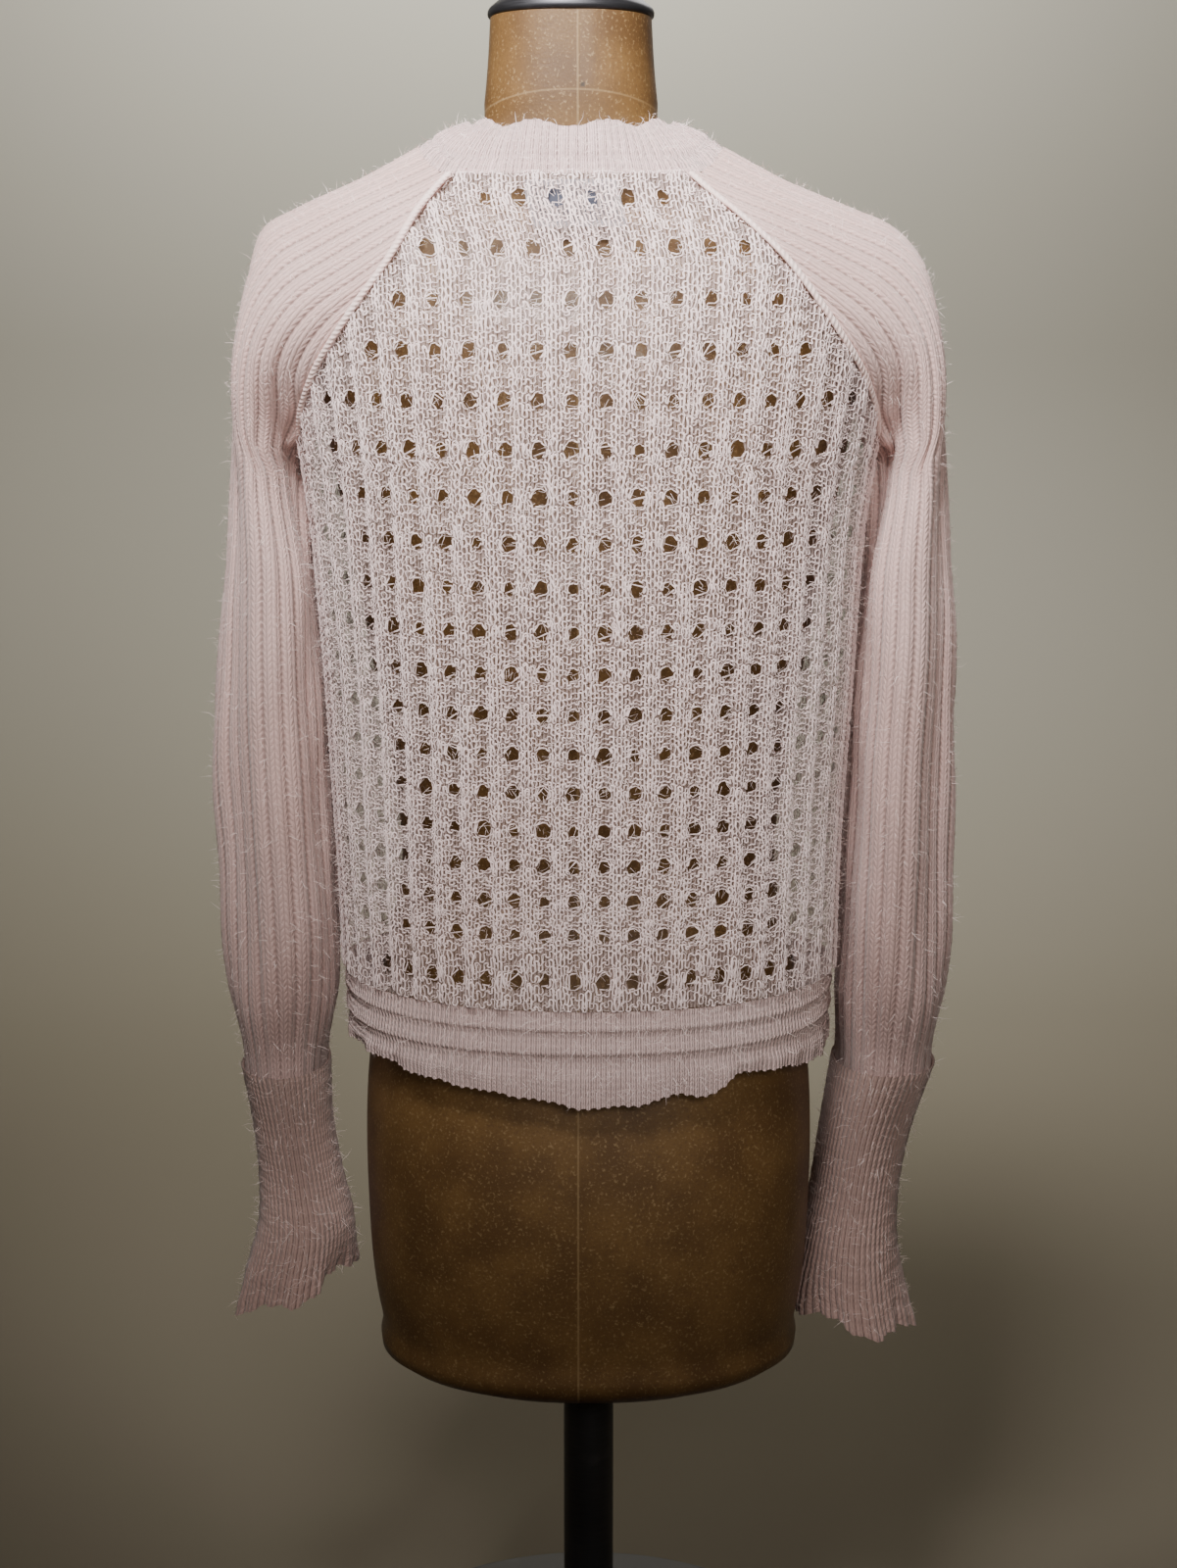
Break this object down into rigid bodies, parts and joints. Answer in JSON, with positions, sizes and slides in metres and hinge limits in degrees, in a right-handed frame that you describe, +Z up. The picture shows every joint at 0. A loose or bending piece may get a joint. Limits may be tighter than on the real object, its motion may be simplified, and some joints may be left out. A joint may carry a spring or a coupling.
{
  "type": "lace-knit cardigan on a limbless dress form",
  "caption": "Pale pink mohair lace-knit cardigan with ribbed raglan sleeves, buttoned on a limbless dress form with a round base.",
  "frame": {"origin": "centre of the round base's underside, on the surface that the dress form stands on", "axes": "+Z up; +Y towards the garment's back, the side that the picture shows; +X towards the wearer's left"},
  "size_m": [0.4437, 0.32, 1.0565],
  "materials": {
    "lace_knit": "pale pink brushed mohair lace knit, matt, with a soft halo of fibres",
    "rib_knit": "pale pink brushed mohair rib knit, matt, with a soft halo of fibres",
    "linked_seam": "smooth pink linked seam with a low sheen",
    "label_cloth": "dark blue woven cloth with a paler border, blank",
    "button_shell": "pale pearly button",
    "kraft_paper": "varnished brown papier-mache, speckled, with fine pale seams",
    "dark_metal": "dark painted iron"
  },
  "bodies": {
    "root": {"back_panel": "lace_knit", "front_left": "lace_knit", "front_right": "lace_knit", "sleeve_left": "rib_knit", "sleeve_right": "rib_knit", "cuff_left": "rib_knit", "cuff_right": "rib_knit", "hem_band": "rib_knit", "neckband": "rib_knit", "button_band_left": "rib_knit", "button_band_right": "rib_knit", "raglan_seam_back_left": "linked_seam", "raglan_seam_back_right": "linked_seam", "raglan_seam_front_left": "linked_seam", "raglan_seam_front_right": "linked_seam", "neck_label": "label_cloth", "button_1": "button_shell", "button_2": "button_shell", "button_3": "button_shell", "button_4": "button_shell", "button_5": "button_shell", "button_6": "button_shell", "button_7": "button_shell", "form_torso": "kraft_paper", "form_neck_cap": "dark_metal", "stand_post": "dark_metal", "stand_base": "dark_metal"}
  },
  "joints": []
}
